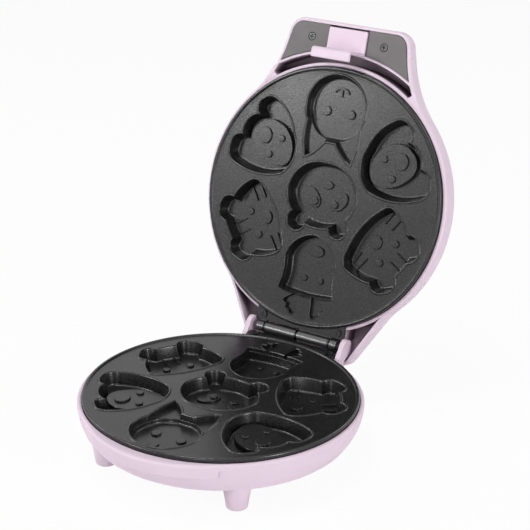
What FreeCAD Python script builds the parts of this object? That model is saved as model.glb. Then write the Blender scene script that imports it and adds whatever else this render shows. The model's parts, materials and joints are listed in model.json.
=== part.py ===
"""Countertop snack maker with two hinged plates of animal-face moulds.

Frame: origin on the table under the centre of the plates, X along the hinge,
-Y to the front (handle), +Z up.  The lid and latch are drawn shut and then
swung open about the hinge, because the open lid is the stored pose.
"""
import FreeCAD, Part
import math
import os

V = FreeCAD.Vector
ORIGIN = V(0, 0, 0)
X = V(1, 0, 0)
Y = V(0, 1, 0)
Z = V(0, 0, 1)

# Driving dimensions in millimetres and degrees

# Baking plates and their moulds
plate_radius = 103.0
plate_face_height = 47.3
plate_thickness = 2.5
plate_skirt_depth = 5.0
plate_skirt_wall = 2.5
plate_edge_round = 2.0
closed_gap = 0.5
drawn_plate_radius = 103.0
mould_depth = 10.0
ear_depth = 6.0
antler_depth = 3.0
mould_edge_round = 1.6
mouth_ease = 0.3
mould_draft = 0.13
cup_wall = 2.0
relief_height = 1.0
post_radius = 4.5
post_spread = 40.0
post_front = 78.0
post_rear = 73.0
lid_pin_radius = 3.0
lid_pin_proud = 1.5

# Casings
casing_gap = 0.5
casing_wall = 2.8
rim_drop = 3.3
rim_round = 2.0
seat_width = 4.2
seat_height = 2.2
seat_gusset = 3.2
base_depth = 28.5
floor_wall = 2.6
floor_inset = 11.3
belt_drop = 2.5
belt_step = 0.4
lid_depth = 30.0
ring_wall = 2.4
ring_ease = 0.8
dome_radius = 900.0
dome_edge_round = 9.0

# Bends of the base's side, each as (run inwards or outwards, rise above the floor)
floor_bend = (2.7, 0.8)
floor_bend_end = (3.8, 2.8)
belly = (2.2, 12.0)
inner_floor_inset = 1.4
inner_bend = (1.9, 0.6)
inner_bend_end = (2.8, 2.2)
inner_belly = (1.9, 9.5)

# Front catch ledge of the base
ledge_half_width = 57.0
ledge_reach = 5.2
ledge_drop = 13.0
ledge_round = 2.4

# Legs and pads
leg_spread = 57.0
leg_front = 66.5
rear_leg_spread = 40.0
rear_leg_inset = 12.3
leg_foot_radius = 7.7
leg_top_radius = 10.5
leg_bore_radius = 4.2
leg_toe_round = 1.2
pad_radius = 5.5
pad_thickness = 3.0
pad_proud = 0.8

# Handle and rear skirt of the lid
handle_reach = 30.7
handle_half_width = 51.0
handle_slope = 0.21
handle_corner = 13.0
handle_flare = 90.0
skirt_reach = 15.6
skirt_margin = 5.0
skirt_slope = 0.55
skirt_corner = 12.0
skirt_flare = 60.0

# Handle insert and its wall
insert_thickness = 3.0
insert_drop = 2.4
insert_gap = 0.2
insert_start = 9.4
handle_root = 80.0
slot_wall = 2.0
insert_screw_spread = 31.75
insert_screw_inset = 14.0

# Hinge
hinge_setback = 5.0
hinge_rise = 2.0
open_angle = 106.0
barrel_radius = 4.75
hinge_pin_radius = 2.0
pin_clearance = 0.05
leaf_thickness = 2.0
leaf_half_width = 40.0
leaf_gap = 0.6
lid_leaf_drop = 2.2
hinge_screw_edge = 6.0
hinge_screw_inset = 5.0
leaf_root = 16.0
long_knuckle = 28.5
short_knuckle = 6.0
knuckle_gap = 0.8
middle_gap = 2.0
ear_thickness = 4.0
ear_radius = 7.0
ear_root = 8.0
ear_slope = 60.0
ear_gap = 0.8
hinge_block_height = 7.6
hinge_block_back = 4.8
lid_block_inset = 9.0
stop_gap = 0.35
stop_width = 8.0
stop_spread = 24.0
stop_height = 6.0
stop_root = 12.0

# Latch
latch_half_width = 16.75
latch_plate_thickness = 2.4
latch_plate_drop = 0.6
latch_plate_inset = 4.2
latch_arm_gap = 2.5
latch_arm_thickness = 3.0
latch_engagement = 3.5
latch_hook_height = 9.0
latch_play = 0.6
latch_edge_round = 1.0
latch_pin_radius = 1.5
latch_pin_ahead = 2.5
latch_pin_drop = 5.2
latch_barrel_radius = 3.0
latch_gap = 0.45
tray_wall = 2.5
tray_depth = 10.5
tray_floor = 1.5
tray_back_gap = 4.0
tray_inset = 1.5
latch_window_run = 6.0
spring_width = 8.0
spring_sheet = 0.4
spring_setback = 0.5
spring_foot = 7.0
spring_tip = 5.6
spring_rest = 0.05

# Heating and wiring
heater_ring_radius = 62.0
heater_tube_radius = 3.3
heater_gap_angle = 50.0
heater_pin_radius = 1.6
heater_pin_length = 24.0
heater_clearance = 0.1
clamp_width = 8.0
clamp_clearance = 0.25
clamp_sheet = 1.0
clamp_tab = 7.0
rivet_radius = 1.8
rivet_height = 0.8
rivet_place = 3.85
clamp_angles = (-90.0, 26.0, 154.0)
reflector_sheet = 0.8
reflector_gap = 10.5
reflector_inner = 22.0
reflector_notch = 16.0
reflector_notch_length = 17.0
reflector_drop = 20.5
thermostat_radius = 9.0
thermostat_height = 9.0
thermostat_flange = 15.0
thermostat_flange_half = 5.0
thermostat_sheet = 1.0
blade_reach = 8.0
blade_rise = 1.5
blade_sheet = 0.8
blade_half_width = 3.1
fuse_radius = 2.0
fuse_length = 12.0
fuse_y = -16.0
fuse_wire = 5.0
clip_half = 4.0
clip_tab = 4.0
clip_sheet = 0.7
terminal_length = 24.0
terminal_width = 12.0
terminal_height = 9.0
terminal_inset = 18.5
socket_depth = 4.0
lead_radius = 0.8
lead_gap = 0.1
grommet_angle = 135.0
grommet_drop = 12.0
grommet_bore = 3.7
grommet_neck = 6.0
grommet_flange = 8.0
grommet_flange_thickness = 2.0
grommet_length = 9.0
grommet_fit = 0.05
lens_radius = 4.5
lens_clearance = 0.1
lens_sink = 0.6
lens_thickness = 1.6
lens_stem_radius = 3.2
lens_stem_length = 9.0
lens_spread = 8.0
lens_inset = 9.7
lens_floor = 1.0
lamp_radius = 2.3
lamp_length = 7.0
lamp_gap = 0.2

# Fasteners
screw_radius = 2.0
screw_clearance = 0.2
screw_head_radius = 3.5
screw_head_height = 2.0
screw_head_sink = 0.2
screw_tip_gap = 2.0
small_screw_radius = 1.5
small_screw_head = 3.0
small_screw_head_height = 1.3
small_screw_length = 8.0
push_nut_radius = 5.6
push_nut_thickness = 0.7
boss_wall = 2.6
recess_width = 0.8
recess_span = 0.6
recess_share = 0.5

# How far a cutting tool runs past what it cuts
spare = 1.0

# Derived sizes
face = plate_face_height
lid_face = plate_face_height + closed_gap
casing_inner = plate_radius + casing_gap
casing_outer = casing_inner + casing_wall
base_floor = face - base_depth
inner_floor = base_floor + floor_wall
hinge_y = casing_outer + hinge_setback
hinge_z = face + hinge_rise
handle_end = casing_outer + handle_reach
skirt_end = hinge_y + skirt_reach
skirt_half_width = leaf_half_width + skirt_margin
mould_scale = plate_radius / drawn_plate_radius
heater_radius = heater_ring_radius * mould_scale
seat_lip = casing_inner - seat_width * mould_scale
dome_bend = dome_radius * mould_scale ** 2
cup_bottom = mould_depth + cup_wall
ledge_bottom = face - ledge_drop
post_places = [(sign * post_spread * mould_scale, y * mould_scale)
               for y in (-post_front, post_rear) for sign in (-1, 1)]
rear_leg_back = casing_outer - rear_leg_inset
insert_inner_radius = casing_outer + insert_start
insert_screw_front = handle_end - insert_screw_inset
hinge_screw_y = casing_outer - hinge_screw_inset
hinge_screw_spread = leaf_half_width - hinge_screw_edge
ledge_front = casing_outer + ledge_reach
latch_arm_back = ledge_front + latch_arm_gap
latch_arm_front = latch_arm_back + latch_arm_thickness
latch_pin_front = latch_arm_front + latch_pin_ahead
latch_plate_front = handle_end - latch_plate_inset
tray_back = latch_pin_front + tray_back_gap
spring_fold = tray_back + spring_setback
reflector_outer = casing_inner - reflector_gap
reflector_notch_start = reflector_outer - reflector_notch_length
terminal_y = casing_inner - terminal_inset
lens_front = casing_outer - lens_inset


# Small helpers

def flat(x, y):
    return V(x, y, 0)


def upright(r, z):
    return V(r, 0, z)


def path(place, start, *steps):
    """Closed wire; a step is an end point, or a (through, end) pair for an arc."""
    edges = []
    here = start
    for step in list(steps) + [start]:
        if isinstance(step[0], tuple):
            through, there = step
            edges.append(Part.Arc(place(*here), place(*through), place(*there)).toShape())
        else:
            there = step
            if place(*here).distanceToPoint(place(*there)) > 1e-6:
                edges.append(Part.makeLine(place(*here), place(*there)))
        here = there
    return Part.Wire(edges)


def turned(wire):
    """Solid of revolution about Z."""
    return Part.Face(wire).revolve(ORIGIN, Z, 360)


def raised(wire, low, high):
    """Prism between two heights from a wire drawn at height 0."""
    prism = Part.Face(wire).extrude(V(0, 0, high - low))
    prism.translate(V(0, 0, low))
    return prism


def block(x0, x1, y0, y1, z0, z1):
    return Part.makeBox(x1 - x0, y1 - y0, z1 - z0, V(x0, y0, z0))


def rod(radius, start, end):
    return Part.makeCylinder(radius, (end - start).Length, start, end - start)


def stud(radius, x, y, start, end):
    """Upright cylinder between two heights."""
    return rod(radius, V(x, y, start), V(x, y, end))


def fused(shapes):
    return shapes[0].multiFuse(list(shapes[1:]))


def mirrored(shape):
    return shape.mirror(ORIGIN, X)


def with_mirror(shape):
    return [shape, mirrored(shape)]


def opened(shape):
    """Swing a lid piece from shut to the stored, open pose."""
    copy = shape.copy()
    copy.rotate(V(0, hinge_y, hinge_z), X, -open_angle)
    return copy


def lead(points):
    """Insulated lead with round joints along straight runs."""
    runs = [rod(lead_radius, a, b) for a, b in zip(points, points[1:])]
    joints = [Part.makeSphere(lead_radius, p) for p in points[1:-1]]
    return fused(runs + joints)


def screw(seat, direction, radius, length, head_radius, head_height):
    """Cross-head screw; seat is under the head, direction points into the work."""
    shank = rod(radius, seat, seat + direction * length)
    head = rod(head_radius, seat, seat - direction * head_height)
    side = X if abs(direction.dot(X)) < 0.9 else Y
    other = direction.cross(side)
    cross = []
    for along, across in ((side, other), (other, side)):
        corner = seat - direction * head_height
        corner = corner - along * (head_radius * recess_span) - across * (recess_width / 2)
        edge = [corner, corner + along * (2 * head_radius * recess_span)]
        edge += [edge[1] + across * recess_width, corner + across * recess_width, corner]
        cross.append(Part.Face(Part.makePolygon(edge)).extrude(direction * (head_height * recess_share)))
    return shank.fuse(head).cut(fused(cross)).removeSplitter()


def compound(shapes):
    return Part.makeCompound(shapes)


# Mould outlines on the plate, drawn at the plate's face

def drawn(*points):
    """Right-hand outline points scaled to the plate."""
    scaled = []
    for p in points:
        if isinstance(p[0], tuple):
            scaled.append(tuple((q[0] * mould_scale, q[1] * mould_scale) for q in p))
        else:
            scaled.append((p[0] * mould_scale, p[1] * mould_scale))
    return path(flat, *scaled)


def ring(cx, cy, radius_x, radius_y):
    """Oval outline as four arcs."""
    k = math.sqrt(0.5)
    return drawn((cx + radius_x, cy),
                 ((cx + radius_x * k, cy + radius_y * k), (cx, cy + radius_y)),
                 ((cx - radius_x * k, cy + radius_y * k), (cx - radius_x, cy)),
                 ((cx - radius_x * k, cy - radius_y * k), (cx, cy - radius_y)),
                 ((cx + radius_x * k, cy - radius_y * k), (cx + radius_x, cy)))


def rabbit_ear():
    return drawn((25.0, -56.0), ((24.6, -42.0), (21.0, -28.5)), ((11.0, -34.5), (3.5, -47.0)),
                 ((9.0, -60.0), (25.0, -56.0)))


def puppy():
    return drawn((40.0, -11.0), ((60.0, -8.5), (83.0, -14.0)), ((91.5, -19.5), (90.0, -29.5)),
                 ((87.0, -36.0), (81.5, -38.5)), ((78.5, -48.5), (69.0, -56.5)),
                 ((70.5, -62.5), (66.0, -68.5)), ((60.0, -73.0), (52.0, -71.5)),
                 ((39.0, -63.5), (31.5, -45.0)), ((29.0, -25.0), (40.0, -11.0)))


def tiger():
    return drawn((30.0, 49.5), ((40.0, 54.5), (52.5, 57.0)), ((58.0, 63.0), (68.0, 62.0)),
                 ((75.5, 57.0), (75.5, 47.5)), ((80.0, 41.5), (83.5, 35.0)),
                 ((91.5, 30.0), (91.0, 20.0)), ((87.0, 13.0), (79.0, 12.5)),
                 ((74.0, 3.0), (66.5, -4.0)), ((60.0, -6.5), (54.0, -3.5)),
                 ((40.0, 15.0), (30.5, 37.5)), ((28.5, 43.5), (30.0, 49.5)))


def deer_head():
    return drawn((25.5, 77.5), ((0.0, 80.5), (-25.5, 77.5)), ((-22.5, 66.0), (-23.5, 51.0)),
                 ((0.0, 29.5), (23.5, 51.0)), ((22.5, 66.0), (25.5, 77.5)))


def antler():
    return drawn((6.0, 77.0), (7.5, 90.0), (9.5, 94.5), (12.5, 94.0), (12.5, 88.5), (16.0, 91.0),
                 (19.0, 88.5), (17.5, 84.5), (13.5, 82.5), (13.0, 77.0))


def both(outline, side):
    return outline if side > 0 else mirrored(outline)


def middle(x, y):
    return V(x * mould_scale, y * mould_scale, 0)


# Each pocket: outline, middle the draft runs towards, depth
def pockets():
    found = [(ring(0, -71, 27.3, 27.3), middle(0, -71), mould_depth),
             (ring(0, -2, 31.5, 27.0), middle(0, -2), mould_depth),
             (deer_head(), middle(0, 55), mould_depth)]
    for side in (1, -1):
        found.append((both(rabbit_ear(), side), middle(15 * side, -46), ear_depth))
        found.append((ring(19 * side, 21.5, 9.7, 9.7), middle(19 * side, 21.5), mould_depth))
        found.append((both(puppy(), side), middle(58 * side, -40), mould_depth))
        found.append((both(tiger(), side), middle(60 * side, 28), mould_depth))
        found.append((both(antler(), side), middle(11.5 * side, 85), antler_depth))
    return found


def about(wire, centre, factor, z):
    """Copy of a wire scaled about a centre and moved to a height."""
    matrix = FreeCAD.Matrix()
    matrix.move(centre * -1)
    matrix.scale(factor, factor, 1)
    matrix.move(centre + V(0, 0, z))
    return wire.transformGeometry(matrix)


def reach(wire, centre):
    """Mean distance of an outline from the middle of its face."""
    points = wire.discretize(40)
    return sum(p.distanceToPoint(centre) for p in points) / len(points)


def pocket_tool(wire, centre, depth):
    """Drafted pocket with an eased mouth, as a solid to cut."""
    size = reach(wire, centre)
    flare = mould_edge_round / size
    shrink = mould_draft * depth / mould_depth
    sections = [(1 + flare, mould_edge_round), (1 + flare, 0),
                (1 + mouth_ease * flare, -mouth_ease * mould_edge_round),
                (1, -mould_edge_round), (1 - shrink, -depth)]
    return Part.makeLoft([about(wire, centre, f, z) for f, z in sections], True, True)


def cup(wire, centre, depth):
    """Outside of the casting round one pocket."""
    size = reach(wire, centre)
    grow = 1 + cup_wall / size
    shrink = mould_draft * depth / mould_depth
    low = about(wire, centre, grow - shrink, -depth - cup_wall)
    high = about(wire, centre, grow, -plate_thickness / 2)
    return Part.makeLoft([high, low], True, True)


def oval_pad(x, y, radius_x, radius_y):
    """Raised oval on a mould's floor."""
    return raised(ring(x, y, radius_x, radius_y), -mould_depth - cup_wall / 2, relief_height - mould_depth)


def face_reliefs():
    """Eyes, noses and muzzles standing on the mould floors."""
    pads = [oval_pad(0, -82, 4.5, 3.2), oval_pad(0, -11, 4.5, 3.2), oval_pad(0, 43, 6.0, 4.5)]
    for side in (1, -1):
        pads.append(oval_pad(11 * side, -68, 3.0, 3.0))
        pads.append(oval_pad(11 * side, 1, 7.0, 9.0))
        pads.append(oval_pad(8 * side, 64, 2.6, 2.6))
        pads.append(oval_pad(54 * side, -23, 3.0, 3.0))
        pads.append(oval_pad(43 * side, -37, 3.0, 3.0))
        pads.append(oval_pad(60 * side, -38, 6.0, 7.5))
        pads.append(oval_pad(58 * side, 41, 3.0, 3.0))
        pads.append(oval_pad(67 * side, 24, 3.0, 3.0))
        pads.append(oval_pad(51 * side, 26, 5.0, 6.0))
    return pads


def plate_casting():
    """Plate with its face at height 0 and moulds going down; no posts."""
    rim = plate_radius
    inside = rim - plate_skirt_wall
    bend = plate_edge_round * (1 - math.sqrt(0.5))
    disc = turned(path(upright, (0, 0), (rim - plate_edge_round, 0),
                       ((rim - bend, -bend), (rim, -plate_edge_round)),
                       (rim, -plate_skirt_depth), (inside, -plate_skirt_depth),
                       (inside, -plate_thickness), (0, -plate_thickness)))
    moulds = pockets()
    body = fused([disc] + [cup(*mould) for mould in moulds])
    body = body.cut(fused([pocket_tool(*mould) for mould in moulds]))
    return fused([body] + face_reliefs())


def plate_posts(length):
    """Round posts under the plate, from its underside down to a shoulder."""
    return [stud(post_radius, x, y, -plate_thickness / 2, -length) for x, y in post_places]


def base_plate(casting):
    posts = plate_posts(reflector_drop)
    threads = [stud(screw_radius, x, y, -reflector_drop, -plate_thickness) for x, y in post_places]
    plate = fused([casting] + posts).cut(compound(threads))
    plate.translate(V(0, 0, face))
    return plate


def lid_plate(casting):
    pins = [stud(lid_pin_radius, x, y, -reflector_drop, -reflector_drop - lid_pin_length())
            for x, y in post_places]
    plate = fused([casting] + plate_posts(reflector_drop) + pins)
    plate = plate.mirror(ORIGIN, Z)
    plate.translate(V(0, 0, lid_face))
    return opened(plate)


def lid_pin_length():
    return reflector_sheet + push_nut_thickness + lid_pin_proud


# Base casing

def base_profile():
    """Outside of the base shell as a solid of revolution."""
    outer = casing_outer
    rim = face - rim_drop
    belt = rim - rim_round - belt_drop
    bend = rim_round * (1 - math.sqrt(0.5))
    edge = outer - floor_inset
    return turned(path(upright, (0, base_floor), (edge, base_floor),
                       ((edge + floor_bend[0], base_floor + floor_bend[1]),
                        (edge + floor_bend_end[0], base_floor + floor_bend_end[1])),
                       ((outer - belly[0], base_floor + belly[1]), (outer - belt_step, belt - belt_step)),
                       (outer, belt), (outer, rim - rim_round),
                       ((outer - bend, rim - bend), (outer - rim_round, rim)), (0, rim)))


def base_hollow():
    """Inside of the base shell, with a seat ring for the plate's skirt."""
    inner = casing_inner
    seat = face - plate_skirt_depth
    lip = seat_lip
    edge = casing_outer - floor_inset - inner_floor_inset
    return turned(path(upright, (0, inner_floor), (edge, inner_floor),
                       ((edge + inner_bend[0], inner_floor + inner_bend[1]),
                        (edge + inner_bend_end[0], inner_floor + inner_bend_end[1])),
                       ((inner - inner_belly[0], inner_floor + inner_belly[1]),
                        (inner - belt_step, seat - seat_height - seat_gusset)),
                       (lip, seat - seat_height), (lip, seat), (inner, seat), (inner, face), (0, face)))


def catch_ledge():
    """Curved ledge on the front wall that the latch hooks under."""
    half = ledge_half_width
    root = -math.sqrt(casing_outer ** 2 - half ** 2)
    front = -ledge_front
    high = face - rim_drop
    ledge = raised(path(flat, (-half, root), ((0, front), (half, root))), ledge_bottom, high)
    lips = [e for e in ledge.Edges if abs(e.BoundBox.YMin - front) < 0.1 and e.BoundBox.ZLength < 0.1]
    upper = [e for e in lips if e.BoundBox.ZMin > ledge_bottom + 1]
    return ledge.makeFillet(ledge_round, upper)


def leg_places():
    front = [(side * leg_spread, -leg_front) for side in (-1, 1)]
    rear = [(side * rear_leg_spread, rear_leg_back) for side in (-1, 1)]
    return front + rear


def leg_top(y):
    """Front legs stand under the floor, rear legs under the hinge block."""
    return base_floor if y < 0 else hinge_block_bottom()


def leg(x, y):
    """Tapered leg, sunk by one floor wall into what it carries."""
    run = leg_top(y) - pad_proud
    height = run + floor_wall
    top_radius = leg_foot_radius + (leg_top_radius - leg_foot_radius) * height / run
    body = Part.makeCone(leg_foot_radius, top_radius, height, V(x, y, pad_proud))
    toe = [e for e in body.Edges if e.BoundBox.ZMax < pad_proud + 0.1]
    return body.makeFillet(leg_toe_round, toe)


def leg_hollow(x, y):
    """Recess for the pad and the hollow above it."""
    recess = stud(pad_radius, x, y, 0, pad_thickness)
    bore = stud(leg_bore_radius, x, y, pad_thickness, leg_top(y) - floor_wall)
    return bore.fuse(recess)


def hinge_block_bottom():
    return face - rim_drop - hinge_block_height


def ear_inner():
    return leaf_half_width + ear_gap


def base_ear():
    """One hinge ear, round about the hinge axis, on the right-hand side."""
    low = hinge_block_bottom()
    start = casing_outer - ear_root
    slope = math.radians(ear_slope)
    shape = [(start, low), (hinge_y, hinge_z - ear_radius), (hinge_y, hinge_z + ear_radius),
             (hinge_y - ear_radius * math.cos(slope), hinge_z + ear_radius * math.sin(slope)),
             (start, face - rim_drop)]
    wire = Part.makePolygon([V(ear_inner(), y, z) for y, z in shape + shape[:1]])
    web = Part.Face(wire).extrude(X * ear_thickness)
    round_end = rod(ear_radius, V(ear_inner(), hinge_y, hinge_z),
                    V(ear_inner() + ear_thickness, hinge_y, hinge_z))
    return web.fuse(round_end)


def lid_stop():
    """Rib the open lid's rear rim leans towards, on the right-hand side."""
    rim_corner = opened(Part.Vertex(V(0, skirt_end, lid_face + rim_drop))).Point
    back = rim_corner.y - stop_gap
    top = hinge_block_bottom()
    return block(stop_spread - stop_width / 2, stop_spread + stop_width / 2,
                 casing_outer - stop_root, back, top - stop_height, top + spare)


def hinge_block():
    """Shelf behind the plate that carries the hinge leaf."""
    half = ear_inner() + ear_thickness
    return block(-half, half, casing_outer - leaf_root, hinge_y - hinge_block_back,
                 hinge_block_bottom(), face - rim_drop)


def grommet_axis():
    angle = math.radians(grommet_angle)
    return V(math.cos(angle), math.sin(angle), 0)


def on_grommet(distance):
    return grommet_axis() * distance + V(0, 0, face - grommet_drop)


def hinge_screw_places():
    return [(side * hinge_screw_spread, hinge_screw_y) for side in (-1, 1)]


def base_screw_seat():
    return base_floor + screw_head_height + screw_head_sink


def base_casing():
    outside = [base_profile(), catch_ledge(), hinge_block()]
    outside += with_mirror(lid_stop())
    outside += with_mirror(base_ear())
    outside += [leg(x, y) for x, y in leg_places()]
    shell = fused(outside).cut(base_hollow())
    boss_top = face - reflector_drop - reflector_sheet
    bosses = [stud(screw_radius + boss_wall, x, y, base_floor + floor_wall / 2, boss_top)
              for x, y in post_places]
    shell = fused([shell] + bosses)
    cuts = [leg_hollow(x, y) for x, y in leg_places()]
    for x, y in post_places:
        cuts.append(stud(screw_radius + screw_clearance, x, y, base_floor - spare, boss_top + spare))
        cuts.append(stud(screw_head_radius + screw_clearance, x, y, base_floor - spare, base_screw_seat()))
    for x, y in hinge_screw_places():
        top = face - rim_drop
        cuts.append(stud(small_screw_radius, x, y, top - small_screw_length, top + spare))
    cuts.append(rod(grommet_neck, on_grommet(casing_outer - grommet_length - spare),
                    on_grommet(casing_outer + spare)))
    return shell.cut(fused(cuts)).removeSplitter()


def foot_pad(x, y):
    return stud(pad_radius, x, y, 0, pad_thickness)


# Lid casing

def extension(end, half_width, slope, corner, flare, inset):
    """Points of one side of an extension that flares out of the round lid.

    Runs from the middle of its end edge, round the corner and along the side to the circle.
    """
    length = math.hypot(1, slope)
    nu, nv = 1 / length, slope / length
    side = half_width * nu + end * nv
    r = corner - inset
    cv = end - inset - r
    cu = (side - inset - r - cv * nv) / nu
    half = math.hypot(nu, 1 + nv)
    k = side + flare
    t = math.sqrt((casing_outer + flare) ** 2 - k ** 2)
    fu = k * nu - t * nv
    fv = k * nv + t * nu
    grown = flare + inset
    away = math.hypot(fu, fv)
    bu, bv = -nu - fu / away, -nv - fv / away
    bend = math.hypot(bu, bv)
    shrink = (casing_outer - inset) / away
    return [(0, end - inset), (cu, end - inset),
            ((cu + r * nu / half, cv + r * (1 + nv) / half), (cu + r * nu, cv + r * nv)),
            (fu - grown * nu, fv - grown * nv),
            ((fu + grown * bu / bend, fv + grown * bv / bend), (fu * shrink, fv * shrink))]


def turned_points(steps, su, sv):
    """Mirror path steps in X and Y by signs."""
    found = []
    for step in steps:
        if isinstance(step[0], tuple):
            found.append(tuple((su * p[0], sv * p[1]) for p in step))
        else:
            found.append((su * step[0], sv * step[1]))
    return found


def backwards(steps):
    """The same path steps run from the last point to the first."""
    ends = [step[1] if isinstance(step[0], tuple) else step for step in steps]
    found = [ends[-1]]
    for i in range(len(steps) - 1, 0, -1):
        step = steps[i]
        found.append((step[0], ends[i - 1]) if isinstance(step[0], tuple) else ends[i - 1])
    return found


def lid_outline(inset):
    """Plan of the lid: circle with the handle in front and the skirt behind."""
    rear = extension(skirt_end, skirt_half_width, skirt_slope, skirt_corner, skirt_flare, inset)
    front = extension(handle_end, handle_half_width, handle_slope, handle_corner, handle_flare, inset)
    radius = casing_outer - inset
    steps = list(rear)
    right = backwards(turned_points(front, 1, -1))
    steps.append(((radius, 0), right[0]))
    steps += right[1:]
    steps += turned_points(front, -1, -1)[1:]
    left = backwards(turned_points(rear, -1, 1))
    steps.append(((-radius, 0), left[0]))
    steps += left[1:-1]
    return path(flat, *steps)


def domed(inset, low, top, top_round, rim_fillet):
    """Lid-shaped solid under a shallow dome, with rounded upper and rim edges."""
    prism = raised(lid_outline(inset), low, top + spare)
    dome = Part.makeSphere(dome_bend, V(0, 0, top - dome_bend), Y)
    solid = prism.common(dome)
    upper = [e for e in solid.Edges if e.BoundBox.ZMin > low + 5 and e.BoundBox.ZLength < 6]
    solid = solid.makeFillet(top_round, upper)
    if rim_fillet:
        rim = [e for e in solid.Edges if e.BoundBox.ZMax < low + 0.01]
        solid = solid.makeFillet(rim_fillet, rim)
    return solid


def lid_ring():
    """Round wall about the lid plate, with a seat for the plate's skirt."""
    inner = casing_inner
    low = lid_face + rim_drop
    seat = lid_face + plate_skirt_depth
    lip = seat_lip
    outer = inner + ring_wall
    return turned(path(upright, (inner, low), (outer - ring_ease, low), (outer, low + ring_ease),
                       (outer, lid_face + lid_depth), (inner, lid_face + lid_depth),
                       (inner - belt_step, seat + seat_height + seat_gusset), (lip, seat + seat_height),
                       (lip, seat), (inner, seat)))


def lid_slot_wall():
    """Curved wall in front of the slot, along the insert's inner edge."""
    outer = insert_inner_radius - insert_gap
    low = lid_face + rim_drop
    tube = stud(outer, 0, 0, low, lid_face + lid_depth)
    tube = tube.cut(stud(outer - slot_wall, 0, 0, low - spare, lid_face + lid_depth + spare))
    return tube.common(block(-handle_end, handle_end, -handle_end, -handle_root, low, low + lid_depth))


def lid_hinge_block():
    """Block behind the plate's rim that carries the lid's hinge leaf."""
    low = lid_face + lid_leaf_drop + leaf_thickness
    return block(-leaf_half_width, leaf_half_width, casing_inner - lid_block_inset,
                 hinge_y - hinge_block_back, low, lid_face + lid_depth)


def insert_screw_places():
    return [(side * insert_screw_spread, -insert_screw_front) for side in (-1, 1)]


def nut_seat():
    return lid_face + reflector_drop + reflector_sheet + push_nut_thickness


def lens_places():
    return [(side * lens_spread, -lens_front) for side in (-1, 1)]


def lid_casing():
    low = lid_face + rim_drop
    top = lid_face + lid_depth
    outside = domed(0, low, top, dome_edge_round, rim_round)
    hollow = domed(casing_wall, low - spare, top - casing_wall, dome_edge_round - casing_wall, 0)
    bosses = [stud(lid_pin_radius + boss_wall, x, y, nut_seat(), top) for x, y in post_places]
    boss_low = lid_face + insert_drop + insert_thickness
    bosses += [stud(small_screw_radius + boss_wall, x, y, boss_low, top)
               for x, y in insert_screw_places()]
    core = domed(casing_wall / 2, low, top - casing_wall / 2, dome_edge_round - casing_wall / 2, 0)
    inside = [piece.common(core) for piece in [lid_ring(), lid_slot_wall(), lid_hinge_block()] + bosses]
    bowl = stud(casing_inner, 0, 0, low - spare, lid_face + plate_skirt_depth)
    shell = fused([outside.cut(hollow)] + inside).cut(bowl)
    cuts = []
    for x, y in post_places:
        cuts.append(stud(lid_pin_radius + screw_clearance, x, y, nut_seat() - spare,
                         nut_seat() + lid_pin_proud + spare))
    for x, y in insert_screw_places():
        cuts.append(stud(small_screw_radius, x, y, boss_low - spare, boss_low + small_screw_length))
    for x, y in hinge_screw_places():
        seat = lid_face + lid_leaf_drop
        cuts.append(stud(small_screw_radius, x, y, seat, seat + small_screw_length))
    for x, y in lens_places():
        cuts.append(stud(lens_stem_radius + lens_clearance, x, y, lens_seat() - lens_stem_length - spare,
                         top + spare))
        cuts.append(stud(lens_radius + lens_clearance, x, y, lens_seat(), top + spare))
    cuts.append(block(-leaf_half_width, leaf_half_width, casing_inner - leaf_root, hinge_y,
                      low - spare, lid_face + lid_leaf_drop + leaf_thickness))
    return opened(shell.cut(fused(cuts)).removeSplitter())


# Handle insert and latch

def insert_plate():
    low = lid_face + insert_drop
    plate = raised(lid_outline(casing_wall + insert_gap), low, low + insert_thickness)
    plate = plate.cut(stud(insert_inner_radius, 0, 0, low - spare, low + insert_thickness + spare))
    return plate.common(block(-handle_end, handle_end, -handle_end, -handle_root,
                              low - spare, low + insert_thickness + spare))


def latch_axis(x):
    return V(x, -latch_pin_front, lid_face + latch_pin_drop)


def tray_front():
    return handle_end - casing_wall - insert_gap - tray_inset


def latch_tray():
    """Well in the insert behind the latch; its sides carry the latch pin."""
    inner = latch_half_width + latch_gap
    outer = inner + tray_wall
    low = lid_face + insert_drop
    floor = lid_face + tray_depth
    back = -latch_pin_front + latch_barrel_radius
    cheek = block(inner, outer, -tray_front(), back, low, floor + tray_floor)
    bottom = block(-outer, outer, -tray_front(), -tray_back, floor, floor + tray_floor)
    return with_mirror(cheek) + [bottom]


def handle_insert():
    inner = latch_half_width + latch_gap
    window = block(-inner, inner, -handle_end, -insert_inner_radius + latch_window_run,
                   lid_face, lid_face + tray_depth)
    plate = fused([insert_plate().cut(window)] + latch_tray())
    cuts = [rod(latch_pin_radius, latch_axis(-handle_half_width), latch_axis(handle_half_width))]
    low = lid_face + insert_drop
    for x, y in insert_screw_places():
        cuts.append(stud(small_screw_radius + screw_clearance, x, y, low - spare,
                         low + insert_thickness + spare))
        cuts.append(stud(small_screw_head + screw_clearance, x, y, low - spare,
                         low + small_screw_head_height))
    return opened(plate.cut(fused(cuts)).removeSplitter())


def latch_spring():
    """Folded leaf spring between the tray's floor and the latch's press plate."""
    floor = lid_face + tray_depth
    touch = lid_face + latch_plate_drop + latch_plate_thickness + spring_rest
    fold = -spring_fold
    foot = fold - spring_foot
    tip = fold - spring_tip
    side = [(foot, floor), (fold, floor), (tip, touch), (tip - 2 * spring_sheet, touch),
            (fold - 2.5 * spring_sheet, floor - spring_sheet), (foot, floor - spring_sheet)]
    wire = Part.makePolygon([V(-spring_width / 2, y, z) for y, z in side + side[:1]])
    return opened(Part.Face(wire).extrude(X * spring_width))


def handle_screws():
    seat = lid_face + insert_drop + small_screw_head_height
    return opened(compound([screw(V(x, y, seat), Z, small_screw_radius, small_screw_length,
                                  small_screw_head, small_screw_head_height)
                            for x, y in insert_screw_places()]))


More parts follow.
